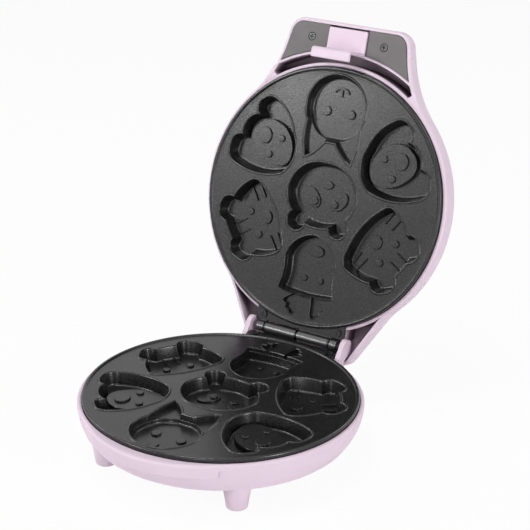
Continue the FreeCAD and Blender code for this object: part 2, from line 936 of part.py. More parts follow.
def latch_pin():
    end = latch_half_width + latch_gap + tray_wall
    return opened(rod(latch_pin_radius, latch_axis(-end), latch_axis(end)))


def latch():
    half = latch_half_width
    plate_low = lid_face + latch_plate_drop
    plate_high = plate_low + latch_plate_thickness
    back = -latch_arm_back
    hook_top = ledge_bottom - latch_play
    hook_low = hook_top - latch_hook_height
    press = block(-half, half, -latch_plate_front, back, plate_low, plate_high)
    arm = block(-half, half, -latch_arm_front, back, hook_low, plate_high)
    hook = block(-half, half, -latch_arm_front, -ledge_front + latch_engagement, hook_low, hook_top)
    barrel = rod(latch_barrel_radius, latch_axis(-half), latch_axis(half))
    bore = rod(latch_pin_radius + pin_clearance, latch_axis(-half - spare), latch_axis(half + spare))
    body = fused([press, arm, hook, barrel]).cut(bore).removeSplitter()
    lead_in = [e for e in body.Edges if e.BoundBox.ZMax < hook_low + 0.01 and e.BoundBox.XLength > half]
    return opened(body.makeFillet(latch_edge_round, lead_in))


# Hinge

def knuckle(x0, x1):
    return rod(barrel_radius, V(x0, hinge_y, hinge_z), V(x1, hinge_y, hinge_z))


def knuckle_ends():
    """X ranges of the knuckles: base long, base short, lid long, lid short."""
    half = middle_gap / 2
    base_long = (-half - long_knuckle, -half)
    lid_long = (half, half + long_knuckle)
    base_short = (lid_long[1] + knuckle_gap, lid_long[1] + knuckle_gap + short_knuckle)
    lid_short = (base_long[0] - knuckle_gap - short_knuckle, base_long[0] - knuckle_gap)
    return base_long, base_short, lid_long, lid_short


def leaf_plate(low, high, notches):
    """Leaf between the plate's rim and the barrel, notched beside the other leaf's knuckles."""
    back = hinge_y - hinge_block_back
    first = knuckle_ends()[3][0]
    last = knuckle_ends()[1][1]
    gaps = [(x0 - knuckle_gap, x1 + knuckle_gap) for x0, x1 in notches]
    gaps += [(-leaf_half_width - spare, first), (last, leaf_half_width + spare)]
    leaf = block(-leaf_half_width, leaf_half_width, casing_outer - leaf_root, hinge_y, low, high)
    leaf = leaf.cut(stud(plate_radius + leaf_gap, 0, 0, low - spare, high + spare))
    for x0, x1 in gaps:
        leaf = leaf.cut(block(x0, x1, back, hinge_y + spare, low - spare, high + spare))
    return leaf


def leaf_holes(low, high):
    return [stud(small_screw_radius + screw_clearance, x, y, low - spare, high + spare)
            for x, y in hinge_screw_places()]


def pin_bore(radius):
    end = leaf_half_width + spare
    return rod(radius, V(-end, hinge_y, hinge_z), V(end, hinge_y, hinge_z))


def other_room(notches):
    """Space a leaf leaves round the other leaf's knuckles."""
    return [rod(barrel_radius + knuckle_gap, V(x0 - knuckle_gap, hinge_y, hinge_z),
                V(x1 + knuckle_gap, hinge_y, hinge_z)) for x0, x1 in notches]


def base_hinge_leaf():
    base_long, base_short, lid_long, lid_short = knuckle_ends()
    low = face - rim_drop
    high = low + leaf_thickness
    leaf = leaf_plate(low, high, [lid_long, lid_short]).cut(compound(other_room([lid_long, lid_short])))
    body = fused([leaf, knuckle(*base_long), knuckle(*base_short)])
    return body.cut(compound([pin_bore(hinge_pin_radius)] + leaf_holes(low, high))).removeSplitter()


def lid_hinge_leaf():
    base_long, base_short, lid_long, lid_short = knuckle_ends()
    low = lid_face + lid_leaf_drop
    high = low + leaf_thickness
    leaf = leaf_plate(low, high, [base_long, base_short]).cut(compound(other_room([base_long, base_short])))
    body = fused([leaf, knuckle(*lid_long), knuckle(*lid_short)])
    bore = pin_bore(hinge_pin_radius + pin_clearance)
    return opened(body.cut(compound([bore] + leaf_holes(low, high))).removeSplitter())


def hinge_pin():
    base_long, base_short, lid_long, lid_short = knuckle_ends()
    return rod(hinge_pin_radius, V(lid_short[0], hinge_y, hinge_z), V(base_short[1], hinge_y, hinge_z))


def hinge_screws(seat, direction):
    length = small_screw_length - leaf_thickness
    return compound([screw(V(x, y, seat), direction, small_screw_radius, length,
                           small_screw_head, small_screw_head_height) for x, y in hinge_screw_places()])


# Heating parts, drawn under a plate whose face is at height 0

def heater():
    level = -cup_bottom - heater_clearance - heater_tube_radius
    gap = heater_gap_angle / 2
    section = Part.makeCircle(heater_tube_radius, V(heater_radius, 0, level), Y)
    tube = Part.Face(Part.Wire(section)).revolve(ORIGIN, Z, 360 - 2 * gap)
    tube.rotate(ORIGIN, Z, 90 + gap)
    parts = [tube]
    for side in (-1, 1):
        angle = math.radians(90 + side * gap)
        end = V(heater_radius * math.cos(angle), heater_radius * math.sin(angle), level)
        parts.append(Part.makeSphere(heater_tube_radius, end))
        parts.append(rod(heater_pin_radius, end, end + Y * heater_pin_length))
    return fused(parts)


def heater_pin_end(side):
    angle = math.radians(90 - side * heater_gap_angle / 2)
    level = -cup_bottom - heater_clearance - heater_tube_radius
    return V(heater_radius * math.cos(angle), heater_radius * math.sin(angle) + heater_pin_length, level)


def heater_clamps():
    """Saddle straps that hold the heater tube against the mould cups."""
    r = heater_tube_radius + clamp_clearance
    wide = r + clamp_sheet
    level = -heater_clearance - heater_tube_radius
    half = clamp_width / 2
    found = []
    for angle in clamp_angles:
        saddle = rod(wide, V(0, -half, level), V(0, half, level))
        saddle = saddle.fuse(block(-wide, wide, -half, half, level, 0))
        saddle = saddle.fuse(block(-wide - clamp_tab, wide + clamp_tab, -half, half, -clamp_sheet, 0))
        room = rod(r, V(0, -half - spare, level), V(0, half + spare, level))
        room = room.fuse(block(-r, r, -half - spare, half + spare, level, wide))
        room = room.fuse(block(-wide, wide, -half - spare, half + spare, 0, wide))
        rivets = [rod(rivet_radius, V(side * (wide + rivet_place), 0, -clamp_sheet - rivet_height),
                      V(side * (wide + rivet_place), 0, -clamp_sheet)) for side in (-1, 1)]
        strap = fused([saddle.cut(room)] + rivets)
        strap.translate(V(heater_radius, 0, -cup_bottom))
        strap.rotate(ORIGIN, Z, angle)
        found.append(strap)
    return compound(found)


def reflector(hole_radius):
    """Flat shield behind the heater, clamped at the plate's posts."""
    low = -reflector_drop - reflector_sheet
    sheet = stud(reflector_outer, 0, 0, low, -reflector_drop)
    cuts = [stud(reflector_inner, 0, 0, low - spare, spare)]
    cuts.append(block(-reflector_notch, reflector_notch, reflector_notch_start, reflector_outer + spare,
                      low - spare, spare))
    cuts += [stud(hole_radius, x, y, low - spare, spare) for x, y in post_places]
    return sheet.cut(compound(cuts))


def in_base(shape):
    copy = shape.copy()
    copy.translate(V(0, 0, face))
    return copy


def in_lid(shape):
    copy = shape.mirror(ORIGIN, Z)
    copy.translate(V(0, 0, lid_face))
    return opened(copy)


def thermostat():
    """Bimetal thermostat under the middle mould."""
    top = -cup_bottom
    flange = block(-thermostat_flange, thermostat_flange, -thermostat_flange_half, thermostat_flange_half,
                   top - thermostat_sheet, top)
    body = stud(thermostat_radius, 0, 0, top, top - thermostat_height)
    blade_z = top - thermostat_height + blade_rise
    tip = thermostat_radius + blade_reach
    blades = block(-tip, tip, -blade_half_width, blade_half_width, blade_z, blade_z + blade_sheet)
    return fused([flange, body, blades])


def thermal_fuse():
    level = -cup_bottom - fuse_radius - heater_clearance
    half = fuse_length / 2
    tip = half + fuse_wire
    can = rod(fuse_radius, V(-half, fuse_y, level), V(half, fuse_y, level))
    wire = rod(lead_radius, V(-tip, fuse_y, level), V(tip, fuse_y, level))
    return can.fuse(wire)


def fuse_clip():
    level = -cup_bottom - fuse_radius - heater_clearance
    r = fuse_radius + pin_clearance
    outer = r + clip_sheet
    past = clip_half + spare
    clip = block(-clip_half, clip_half, fuse_y - outer - clip_tab, fuse_y + outer,
                 level - outer, -cup_bottom)
    room = rod(r, V(-past, fuse_y, level), V(past, fuse_y, level))
    room = room.fuse(block(-past, past, fuse_y - r, fuse_y + r, level, -cup_bottom + spare))
    room = room.fuse(block(-past, past, fuse_y - outer - clip_tab - spare, fuse_y - outer,
                           level - outer - spare, -cup_bottom - clip_sheet))
    return clip.cut(room)


def terminal_block():
    low = inner_floor
    half = terminal_length / 2
    body = block(-half, half, terminal_y - terminal_width / 2, terminal_y + terminal_width / 2,
                 low, low + terminal_height)
    top = low + terminal_height
    y = terminal_y - terminal_width / 4
    sockets = [stud(2 * lead_radius, x, y, top - socket_depth, top + spare)
               for x in (-terminal_length / 3, 0, terminal_length / 3)]
    return body.cut(compound(sockets))


def under(x, y, z):
    """Place under the plate that keeps its share of the plate's radius."""
    return V(x * mould_scale, y * mould_scale, z)


def base_leads():
    """Leads between the terminal block, heater pins, thermostat and fuse."""
    shelf = face - reflector_drop + lead_radius + lead_gap
    top = inner_floor + terminal_height
    off = lead_radius + lead_gap
    socket_x = terminal_length / 3
    right_pin = heater_pin_end(1) + V(0, off, face)
    left_pin = heater_pin_end(-1) + V(0, off, face)
    blade_x = thermostat_radius + blade_reach + off
    blade_z = face - cup_bottom - thermostat_height + blade_rise + blade_sheet / 2
    fuse_z = face - cup_bottom - fuse_radius - heater_clearance
    fuse_x = fuse_length / 2 + fuse_wire + off
    socket = V(0, terminal_y - terminal_width / 4, top - socket_depth / 2)
    runs = [[right_pin, V(socket_x + 6, right_pin.y + 3, right_pin.z), socket + V(socket_x, 0, 5),
             socket + V(socket_x, 0, 0)],
            [left_pin, under(-31, 0, left_pin.z) + V(0, left_pin.y + 0.5, 0), under(-31, 58, shelf),
             under(-31, 12, shelf), V(-blade_x, 0, blade_z)],
            [V(blade_x, 0, blade_z), V(blade_x + 6, -6, shelf), V(fuse_x + 5, fuse_y, shelf + 2),
             V(fuse_x, fuse_y, fuse_z)],
            [V(-fuse_x, fuse_y, fuse_z), V(-fuse_x - 8, fuse_y + 2, shelf), under(-51, 20, shelf),
             under(-51, 70, shelf), under(-44, 84, top + 1), socket + V(-socket_x - 6, 4, 4),
             socket + V(-socket_x, 0, 4), socket + V(-socket_x, 0, 0)]]
    return compound([lead(points) for points in runs])


def lid_leads():
    """Leads from the lid's heater pins to the hinge block."""
    off = lead_radius + lead_gap
    found = []
    for side in (-1, 1):
        pin = heater_pin_end(side) + V(0, off, 0)
        turn = V(side * 14, pin.y + 5, pin.z)
        found.append(lead([pin, turn, V(side * 10, casing_inner - lid_block_inset - off, pin.z)]))
    return compound(found)


def cord_grommet():
    inner = casing_outer - grommet_length
    end = casing_outer + grommet_flange_thickness
    neck = rod(grommet_neck - grommet_fit, on_grommet(inner), on_grommet(casing_outer))
    flange = rod(grommet_flange, on_grommet(casing_outer), on_grommet(end))
    bore = rod(grommet_bore, on_grommet(inner - spare), on_grommet(end + spare))
    return neck.fuse(flange).cut(bore)


def base_plate_screws():
    seat = base_screw_seat()
    length = face - plate_thickness - screw_tip_gap - seat
    return compound([screw(V(x, y, seat), Z, screw_radius, length, screw_head_radius, screw_head_height)
                     for x, y in post_places])


def push_nuts():
    low = nut_seat() - push_nut_thickness
    return opened(compound([stud(push_nut_radius, x, y, low, nut_seat()).cut(
        stud(lid_pin_radius, x, y, low - spare, nut_seat() + spare)) for x, y in post_places]))


def lens_seat():
    """Height of the flat seat sunk into the dome under a lens."""
    away = math.hypot(lens_spread, lens_front)
    return lid_face + lid_depth - dome_bend + math.sqrt(dome_bend ** 2 - away ** 2) - lens_sink


def lamp_lens(x, y):
    seat = lens_seat()
    cap = stud(lens_radius, x, y, seat, seat + lens_thickness)
    cap = cap.makeFillet(lens_thickness / 2, [e for e in cap.Edges if e.BoundBox.ZMin > seat + 0.1])
    stem = stud(lens_stem_radius, x, y, seat - lens_stem_length, seat)
    hollow = stud(lamp_radius, x, y, seat - lens_stem_length - spare, seat - lens_floor)
    return opened(fused([cap, stem]).cut(hollow))


def indicator_lamps():
    end = lens_seat() - lens_floor - lamp_gap
    return opened(compound([stud(lamp_radius - pin_clearance, x, y, end - lamp_length, end)
                            for x, y in lens_places()]))


def all_nodes():
    casting = plate_casting()
    tube = heater()
    straps = heater_clamps()
    nodes = {
        "base_casing": base_casing(),
        "base_plate": base_plate(casting),
        "base_heater": in_base(tube),
        "base_heater_clamps": in_base(straps),
        "base_reflector": in_base(reflector(screw_radius + screw_clearance)),
        "base_plate_screws": base_plate_screws(),
        "thermostat": in_base(thermostat()),
        "thermal_fuse": in_base(thermal_fuse()),
        "fuse_clip": in_base(fuse_clip()),
        "terminal_block": terminal_block(),
        "base_leads": base_leads(),
        "cord_grommet": cord_grommet(),
        "base_hinge_leaf": base_hinge_leaf(),
        "base_hinge_screws": hinge_screws(face - rim_drop + leaf_thickness, Z * -1),
        "hinge_pin": hinge_pin(),
        "lid_casing": lid_casing(),
        "lid_plate": lid_plate(casting),
        "lid_heater": in_lid(tube),
        "lid_heater_clamps": in_lid(straps),
        "lid_reflector": in_lid(reflector(lid_pin_radius + screw_clearance)),
        "lid_push_nuts": push_nuts(),
        "lid_leads": in_lid(lid_leads()),
        "lid_hinge_leaf": lid_hinge_leaf(),
        "lid_hinge_screws": opened(hinge_screws(lid_face + lid_leaf_drop, Z)),
        "handle_insert": handle_insert(),
        "handle_screws": handle_screws(),
        "power_lens": lamp_lens(*lens_places()[0]),
        "ready_lens": lamp_lens(*lens_places()[1]),
        "indicator_lamps": indicator_lamps(),
        "latch_pin": latch_pin(),
        "latch_spring": latch_spring(),
        "latch": latch(),
    }
    names = ("front_left", "front_right", "rear_left", "rear_right")
    for name, place in zip(names, leg_places()):
        nodes["foot_pad_" + name] = foot_pad(*place)
    return nodes


os.makedirs("parts", exist_ok=True)
for node, shape in all_nodes().items():
    shape.exportStep("parts/" + node + ".step")
    print(node, len(shape.Solids), round(shape.Volume), shape.isValid())
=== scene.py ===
import bmesh
import bpy
import json
import math
from mathutils import Matrix, Vector

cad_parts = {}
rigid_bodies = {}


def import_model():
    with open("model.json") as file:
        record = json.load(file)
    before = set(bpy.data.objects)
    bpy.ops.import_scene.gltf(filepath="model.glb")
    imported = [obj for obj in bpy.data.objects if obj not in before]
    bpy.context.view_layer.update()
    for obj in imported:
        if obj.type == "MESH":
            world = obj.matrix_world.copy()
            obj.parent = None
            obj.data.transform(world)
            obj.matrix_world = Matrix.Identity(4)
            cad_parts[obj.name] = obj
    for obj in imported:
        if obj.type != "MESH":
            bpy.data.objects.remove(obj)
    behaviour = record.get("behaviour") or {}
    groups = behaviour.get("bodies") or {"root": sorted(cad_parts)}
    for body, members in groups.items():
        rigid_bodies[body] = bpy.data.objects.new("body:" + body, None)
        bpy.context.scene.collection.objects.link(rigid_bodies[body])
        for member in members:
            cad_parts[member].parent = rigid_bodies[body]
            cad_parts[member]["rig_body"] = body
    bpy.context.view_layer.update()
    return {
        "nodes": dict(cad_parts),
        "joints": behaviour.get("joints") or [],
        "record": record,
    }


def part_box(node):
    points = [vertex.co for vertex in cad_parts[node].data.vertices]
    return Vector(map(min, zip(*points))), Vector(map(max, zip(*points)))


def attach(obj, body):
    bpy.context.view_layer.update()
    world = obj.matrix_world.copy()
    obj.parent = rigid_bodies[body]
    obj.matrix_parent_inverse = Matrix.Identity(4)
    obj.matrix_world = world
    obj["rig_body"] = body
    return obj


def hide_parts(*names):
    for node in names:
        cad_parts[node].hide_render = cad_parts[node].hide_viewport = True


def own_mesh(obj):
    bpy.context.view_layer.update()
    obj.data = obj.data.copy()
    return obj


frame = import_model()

nodes = frame["nodes"]
joints = {joint["name"]: joint for joint in frame["joints"]}

# Hinge and plates as the frame has them, in metres; only the plate's radius is in millimetres
mm = 0.001
hinge_point = Vector(joints["lid_hinge"]["pos_m"])
open_turn = math.radians(joints["lid_hinge"]["range_deg"][1])
swing_open = (Matrix.Translation(hinge_point) @ Matrix.Rotation(-open_turn, 4, "X")
              @ Matrix.Translation(-hinge_point))
swing_shut = swing_open.inverted()
plate_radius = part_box("base_plate")[1].x / mm
plate_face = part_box("base_plate")[1].z
closed_gap = 0.5 * mm
lid_face = plate_face + closed_gap

# Places on the solids that the looks follow, in metres
barrel_radius = 4.75 * mm
knuckle_end = 29.3 * mm
knuckle_shade = 1.3 * mm
insert_level = lid_face + 2.4 * mm
screw_aside = 31.75 * mm
screw_ahead = -123.0 * mm
screw_rim = 2.6 * mm

# Edges and outlines: turn that counts as sharp, nearness in metres, spacing of points in millimetres
sharp_turn = math.radians(38)
flat_turn = math.radians(0.5)
tolerance = 0.02 * mm
weld = 0.001 * mm
outline_step = 1.3
oval_step = 0.7 * outline_step
oval_fewest = 14

# Handle and latch in millimetres
insert_round = 0.45
screw_round = 0.5
latch_half = 16.75
latch_round = 0.7

# Plate in millimetres: its face lies inside a raised rim, given as (offset from the radius, height) steps
face_drop = 1.2
face_edge = 3.5
face_sides = 192
rim_steps = [(-3.3, -1.05), (-2.9, -0.6), (-2.5, -0.2), (-2.1, -0.03), (-1.8, 0.0), (-1.2, 0.0),
             (-0.6, -0.2), (-0.2, -0.7), (0.0, -1.4), (0.0, -4.9), (-6.0, -5.0), (-6.0, -12.0)]

# Mould walls in millimetres as (inset, rise) steps, and how far a lip starts outside its outline
lip_outside = 0.5
lip_steps = [(0.15, 0.0), (0.12, 0.1), (0.18, 0.27), (0.2, 0.2), (0.3, 0.08), (0.4, 0.0),
             (0.3, -0.1), (0.3, -0.28), (0.25, -0.42), (0.15, -0.5)]
fine_lip_outside = 0.3
fine_lip_steps = [(fine_lip_outside, 0.0), (0.08, 0.06), (0.12, 0.24), (0.15, 0.12), (0.12, 0.0),
                  (0.15, -0.12), (0.2, -0.33), (0.15, -0.4)]
shelf_steps = [(0.15, -0.1), (0.12, -0.3)]
floor_steps = [(0.15, -0.6), (0.3, -0.5), (0.4, -0.3), (0.45, -0.1), (0.4, 0.0)]
mould_depth = 10.0
rabbit_depth = 7.6
ear_depth = 4.2
antler_depth = 3.0
wall_draft = 0.24
antler_draft = 0.1

# Reliefs on the mould floors in millimetres; the top's steps are shares of the ease and of the height
raised = 1.5
puppy_rise = 4.0
stripe_width = 1.4
soft_ease = 0.3
fine_ease = 0.2
relief_sunk = 0.3
relief_side = 0.6
relief_top = [(0.7, 0.28), (1.0, 0.12)]


# Objects and meshes

def new_piece(name, mesh, material, body):
    """Link a finished mesh as a piece that rides on a body."""
    piece = bpy.data.objects.new(name, mesh)
    bpy.context.scene.collection.objects.link(piece)
    mesh.materials.clear()
    mesh.materials.append(material)
    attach(piece, body)
    return piece


def to_mesh(bm, name):
    """Mesh with smooth faces and sharp edges where the surface turns sharply."""
    mesh = bpy.data.meshes.new(name)
    for f in bm.faces:
        f.smooth = True
    bm.to_mesh(mesh)
    bm.free()
    mesh.set_sharp_from_angle(angle=sharp_turn)
    return mesh


def even_shading(piece):
    """Let large flat faces look flat and leave the turn to the small ones beside them."""
    even = piece.modifiers.new("even_normals", "WEIGHTED_NORMAL")
    even.keep_sharp = True


def round_edges(bm, edges, width):
    """Round edges by a width in millimetres."""
    bmesh.ops.bevel(bm, geom=edges, offset=width * mm, offset_type="OFFSET", segments=3, profile=0.5,
                    affect="EDGES", clamp_overlap=True, material=-1)


def pulled(bm, face, vec):
    """Pull a face along a vector into a solid; returns the face at the far end."""
    made = bmesh.ops.extrude_face_region(bm, geom=[face])["geom"]
    far = next(part for part in made if isinstance(part, bmesh.types.BMFace))
    bmesh.ops.translate(bm, verts=list(far.verts), vec=vec)
    return far


def dressed(node, name, finish, width, chosen):
    """Copy of a CAD node with its chosen sharp edges rounded, shown in the node's place."""
    bm = bmesh.new()
    bm.from_mesh(nodes[node].data)
    bmesh.ops.remove_doubles(bm, verts=bm.verts, dist=weld)
    bmesh.ops.dissolve_limit(bm, angle_limit=flat_turn, verts=bm.verts, edges=bm.edges)
    edges = [e for e in bm.edges if e.is_manifold and e.calc_face_angle() > sharp_turn and chosen(e)]
    round_edges(bm, edges, width)
    piece = new_piece(name, to_mesh(bm, name), finish, nodes[node]["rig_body"])
    even_shading(piece)
    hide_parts(node)
    return piece


# Outlines in millimetres

def arc(start, through, end):
    """Points after start on the circle arc through three points, about one outline step apart."""
    ax, ay = start
    bx, by = through
    cx, cy = end
    d = 2 * (ax * (by - cy) + bx * (cy - ay) + cx * (ay - by))
    if abs(d) < 1e-6:
        return [end]
    a2, b2, c2 = ax * ax + ay * ay, bx * bx + by * by, cx * cx + cy * cy
    ox = (a2 * (by - cy) + b2 * (cy - ay) + c2 * (ay - by)) / d
    oy = (a2 * (cx - bx) + b2 * (ax - cx) + c2 * (bx - ax)) / d
    radius = math.hypot(ax - ox, ay - oy)
    first = math.atan2(ay - oy, ax - ox)
    turn = (math.atan2(cy - oy, cx - ox) - first) % math.tau
    if (math.atan2(by - oy, bx - ox) - first) % math.tau > turn:
        turn -= math.tau
    count = max(2, round(abs(turn) * radius / outline_step))
    angles = [first + turn * i / count for i in range(1, count + 1)]
    return [(ox + radius * math.cos(angle), oy + radius * math.sin(angle)) for angle in angles]


def run(start, *steps):
    """Open run of points; a step is an end point, or a (through, end) pair for an arc."""
    points = [start]
    for step in steps:
        if isinstance(step[0], tuple):
            points += arc(points[-1], *step)
        else:
            points.append(step)
    return points


def closed(start, *steps):
    """Closed outline from a run that ends where it starts."""
    return run(start, *steps)[:-1]


def both_halves(start, *steps):
    """Closed outline from its right half, which runs from the middle below to the middle above."""
    right = run(start, *steps)
    left = [(-x, y) for x, y in reversed(right[1:-1])]
    return right + left


def on_side(outline, side):
    """Outline as drawn for side 1, or mirrored with its direction kept for side -1."""
    return outline if side > 0 else [(-x, y) for x, y in reversed(outline)]


def oval(x, y, radius_x, radius_y, lean=0):
    """Ellipse, leaning to the left by some degrees."""
    count = max(oval_fewest, round(math.tau * max(radius_x, radius_y) / oval_step))
    angles = [math.tau * i / count for i in range(count)]
    tilt = Matrix.Rotation(math.radians(lean), 2)
    points = [tilt @ Vector((radius_x * math.cos(angle), radius_y * math.sin(angle))) for angle in angles]
    return [(x + p.x, y + p.y) for p in points]


def with_neighbours(points):
    """Each point of a closed outline between the one before it and the one after it."""
    return zip(points[-1:] + points[:-1], points, points[1:] + points[:1])


def rounded(points, rounds=2):
    """Ease the joins of an outline, but keep its sharp corners."""
    for _ in range(rounds):
        eased = []
        for a, b, c in with_neighbours(points):
            before = Vector((b[0] - a[0], b[1] - a[1]))
            after = Vector((c[0] - b[0], c[1] - b[1]))
            keep = before.angle(after) > sharp_turn
            eased.append(b if keep else ((a[0] + 2 * b[0] + c[0]) / 4, (a[1] + 2 * b[1] + c[1]) / 4))
        points = eased
    return points


def turned_up(points):
    """Outline in the direction that makes its face look up."""
    area = sum(a[0] * b[1] - b[0] * a[1] for a, b in zip(points, points[1:] + points[:1]))
    return points if area > 0 else list(reversed(points))


def grown(points, distance):
    """Outline moved outwards by a distance."""
    found = []
    for a, b, c in with_neighbours(turned_up(points)):
        along = (Vector(c) - Vector(a)).normalized()
        found.append((b[0] + along.y * distance, b[1] - along.x * distance))
    return found


def bar(start, end, width):
    """Outline of a straight ridge with round ends."""
    steps = 4
    along = Vector((end[0] - start[0], end[1] - start[1])).normalized() * (width / 2)
    across = Vector((-along.y, along.x))
    angles = [math.pi * i / steps for i in range(steps + 1)]
    turn = [math.cos(angle) * -across + math.sin(angle) * along for angle in angles]
    tip = [tuple(Vector(end) + p) for p in turn]
    tail = [tuple(Vector(start) - p) for p in turn]
    return tip + tail


def rabbit_outline():
    """Head with two upright ears."""
    return both_halves((0, -98.3), ((19.3, -90.3), (27.3, -71)), ((26.6, -64.9), (24.6, -59.2)),
                       ((25.0, -50), (24.4, -41)), (21.4, -27.6), (15.2, -31.4), ((9.0, -37), (3.9, -43)),
                       (0, -43.1))


def rabbit_mouth():
    """Short bar over a smile, as one outline."""
    return closed((0.7, -80), (0.7, -85.6), ((3.8, -84.9), (5.6, -82.7)), ((6.4, -83.0), (6.6, -83.8)),
                  ((4.2, -86.7), (0, -87.4)), ((-4.2, -86.7), (-6.6, -83.8)),
                  ((-6.4, -83.0), (-5.6, -82.7)), ((-3.8, -84.9), (-0.7, -85.6)), (-0.7, -80), (0.7, -80))


def panda_outline():
    """Wide head with two round ears."""
    return both_halves((0, -29), ((22.6, -21.1), (31.9, -2)), ((29.8, 6.8), (25.3, 14.1)),
                       ((23.7, 29), (9.6, 23.8)), ((5, 24.6), (0, 24.9)))


def deer_outline():
    """Head with the antlers that rise from its top edge."""
    return both_halves((0, 29.5), ((15.5, 36.4), (23.5, 51)), ((22.7, 60), (23.4, 69)), (25.5, 77.4),
                       (19, 79.1), (12.6, 79.9), (17.6, 83.4), (19.2, 87.1), (15.6, 88.5), (16.2, 91.8),
                       (12.9, 93.1), (11.9, 95.8), (8.2, 96.2), (6.4, 93.2), (5.8, 80.3), (0, 80.6))


def puppy_outline():
    """Head with hanging ears, on the plate's right side."""
    return closed((38.5, -11.8), ((60, -8), (81.5, -12.4)), ((89.6, -18.4), (90.2, -28.5)),
                  ((87, -35.8), (81.3, -38.6)), ((78.5, -48.5), (69, -56.6)), ((70.4, -62.5), (66, -68.6)),
                  ((60, -72.4), (53, -71.2)), ((40.5, -61.5), (31.5, -45)), ((28.8, -27), (38.5, -11.8)))


def puppy_face():
    """Raised face inside a puppy mould, between the ears."""
    return closed((35, -30), ((38, -20.6), (47.5, -17)), ((61, -20.3), (70, -28)),
                  ((74.6, -38), (69.5, -48)), ((61, -53), (51.5, -52.2)), ((41.5, -46), (36.2, -37)),
                  ((35.1, -33.6), (35, -30)))


def tiger_outline():
    """Head with two round ears, on the plate's right side."""
    return closed((30, 50.5), ((40, 55.2), (52.8, 57.6)), ((58, 63.2), (67.5, 62.3)),
                  ((75.3, 56.5), (75, 47.8)), ((79.4, 41.8), (83.2, 35.4)), ((90.6, 30), (90.4, 20.5)),
                  ((86.3, 13.7), (79, 12.5)), ((73.8, 4.4), (66.3, -2.6)), ((60.5, -5), (54.6, -2.4)),
                  ((38.6, 14.6), (28.9, 36.5)), ((27.3, 44.5), (30, 50.5)))


# Plate with moulds

def at(point, z):
    """Place in the mesh of a point and a height in millimetres."""
    return Vector((point[0] * mm, point[1] * mm, z * mm))


def flat_face(bm, points, z):
    """Level face that looks up."""
    return bm.faces.new([bm.verts.new(at(p, z)) for p in turned_up(points)])


def sink(bm, face, steps):
    """Inset a face step by step; each step also moves it along its normal."""
    for inset, rise in steps:
        bmesh.ops.inset_region(bm, faces=[face], thickness=inset * mm, depth=rise * mm,
                               use_even_offset=True, use_boundary=True)


def drop_of(steps):
    """Depth that a run of steps goes down."""
    return -sum(rise for inset, rise in steps)


def wall_to(depth, start, draft):
    """Drafted wall from one depth to another, less the floor's round edge."""
    drop = depth - start - drop_of(floor_steps)
    return [(drop * draft, -drop)]


def split_off(bm, face, start, end, through):
    """Cut a face along an arc between its vertices nearest two points; returns both halves."""
    z = face.verts[0].co.z / mm
    a = min(face.verts, key=lambda v: (v.co - at(start, z)).length)
    b = min(face.verts, key=lambda v: (v.co - at(end, z)).length)
    first = (a.co.x / mm, a.co.y / mm)
    last = (b.co.x / mm, b.co.y / mm)
    between = [at(p, z) for p in arc(first, through, last)[:-1]]
    other, _ = bmesh.utils.face_split(face, a, b, coords=between)
    return face, other


def paired(cut):
    """A cut on the right and its mirror on the left."""
    return [cut, tuple((-x, y) for x, y in cut)]


def mould_mouth(bm, outline, rounds=2, outside=lip_outside):
    """Face in the plate's surface that a mould is sunk from."""
    return flat_face(bm, grown(rounded(outline, rounds), outside), -face_drop)


def sink_deep(bm, face):
    """Mould with one floor."""
    sink(bm, face, lip_steps + wall_to(mould_depth, drop_of(lip_steps), wall_draft) + floor_steps)


def sink_stepped(bm, face, lip, shelf, depth, draft, cuts):
    """Mould whose ears or antlers have a shallower floor than its head."""
    down = shelf - drop_of(lip)
    sink(bm, face, lip + [(down * draft, -down)])
    for start, end, through in cuts:
        parts = split_off(bm, face, start, end, through)
        face = max(parts, key=lambda f: f.calc_area())
    wall = wall_to(depth, shelf + drop_of(shelf_steps), draft)
    sink(bm, face, shelf_steps + wall + floor_steps)


def relief(bm, outline, floor, height, ease=soft_ease):
    """Raised island with an upright side and an eased top, standing on a mould's floor."""
    foot = flat_face(bm, outline, -floor - relief_sunk)
    top = pulled(bm, foot, (0, 0, (height * relief_side + relief_sunk) * mm))
    sink(bm, top, [(ease * inset, height * rise) for inset, rise in relief_top])


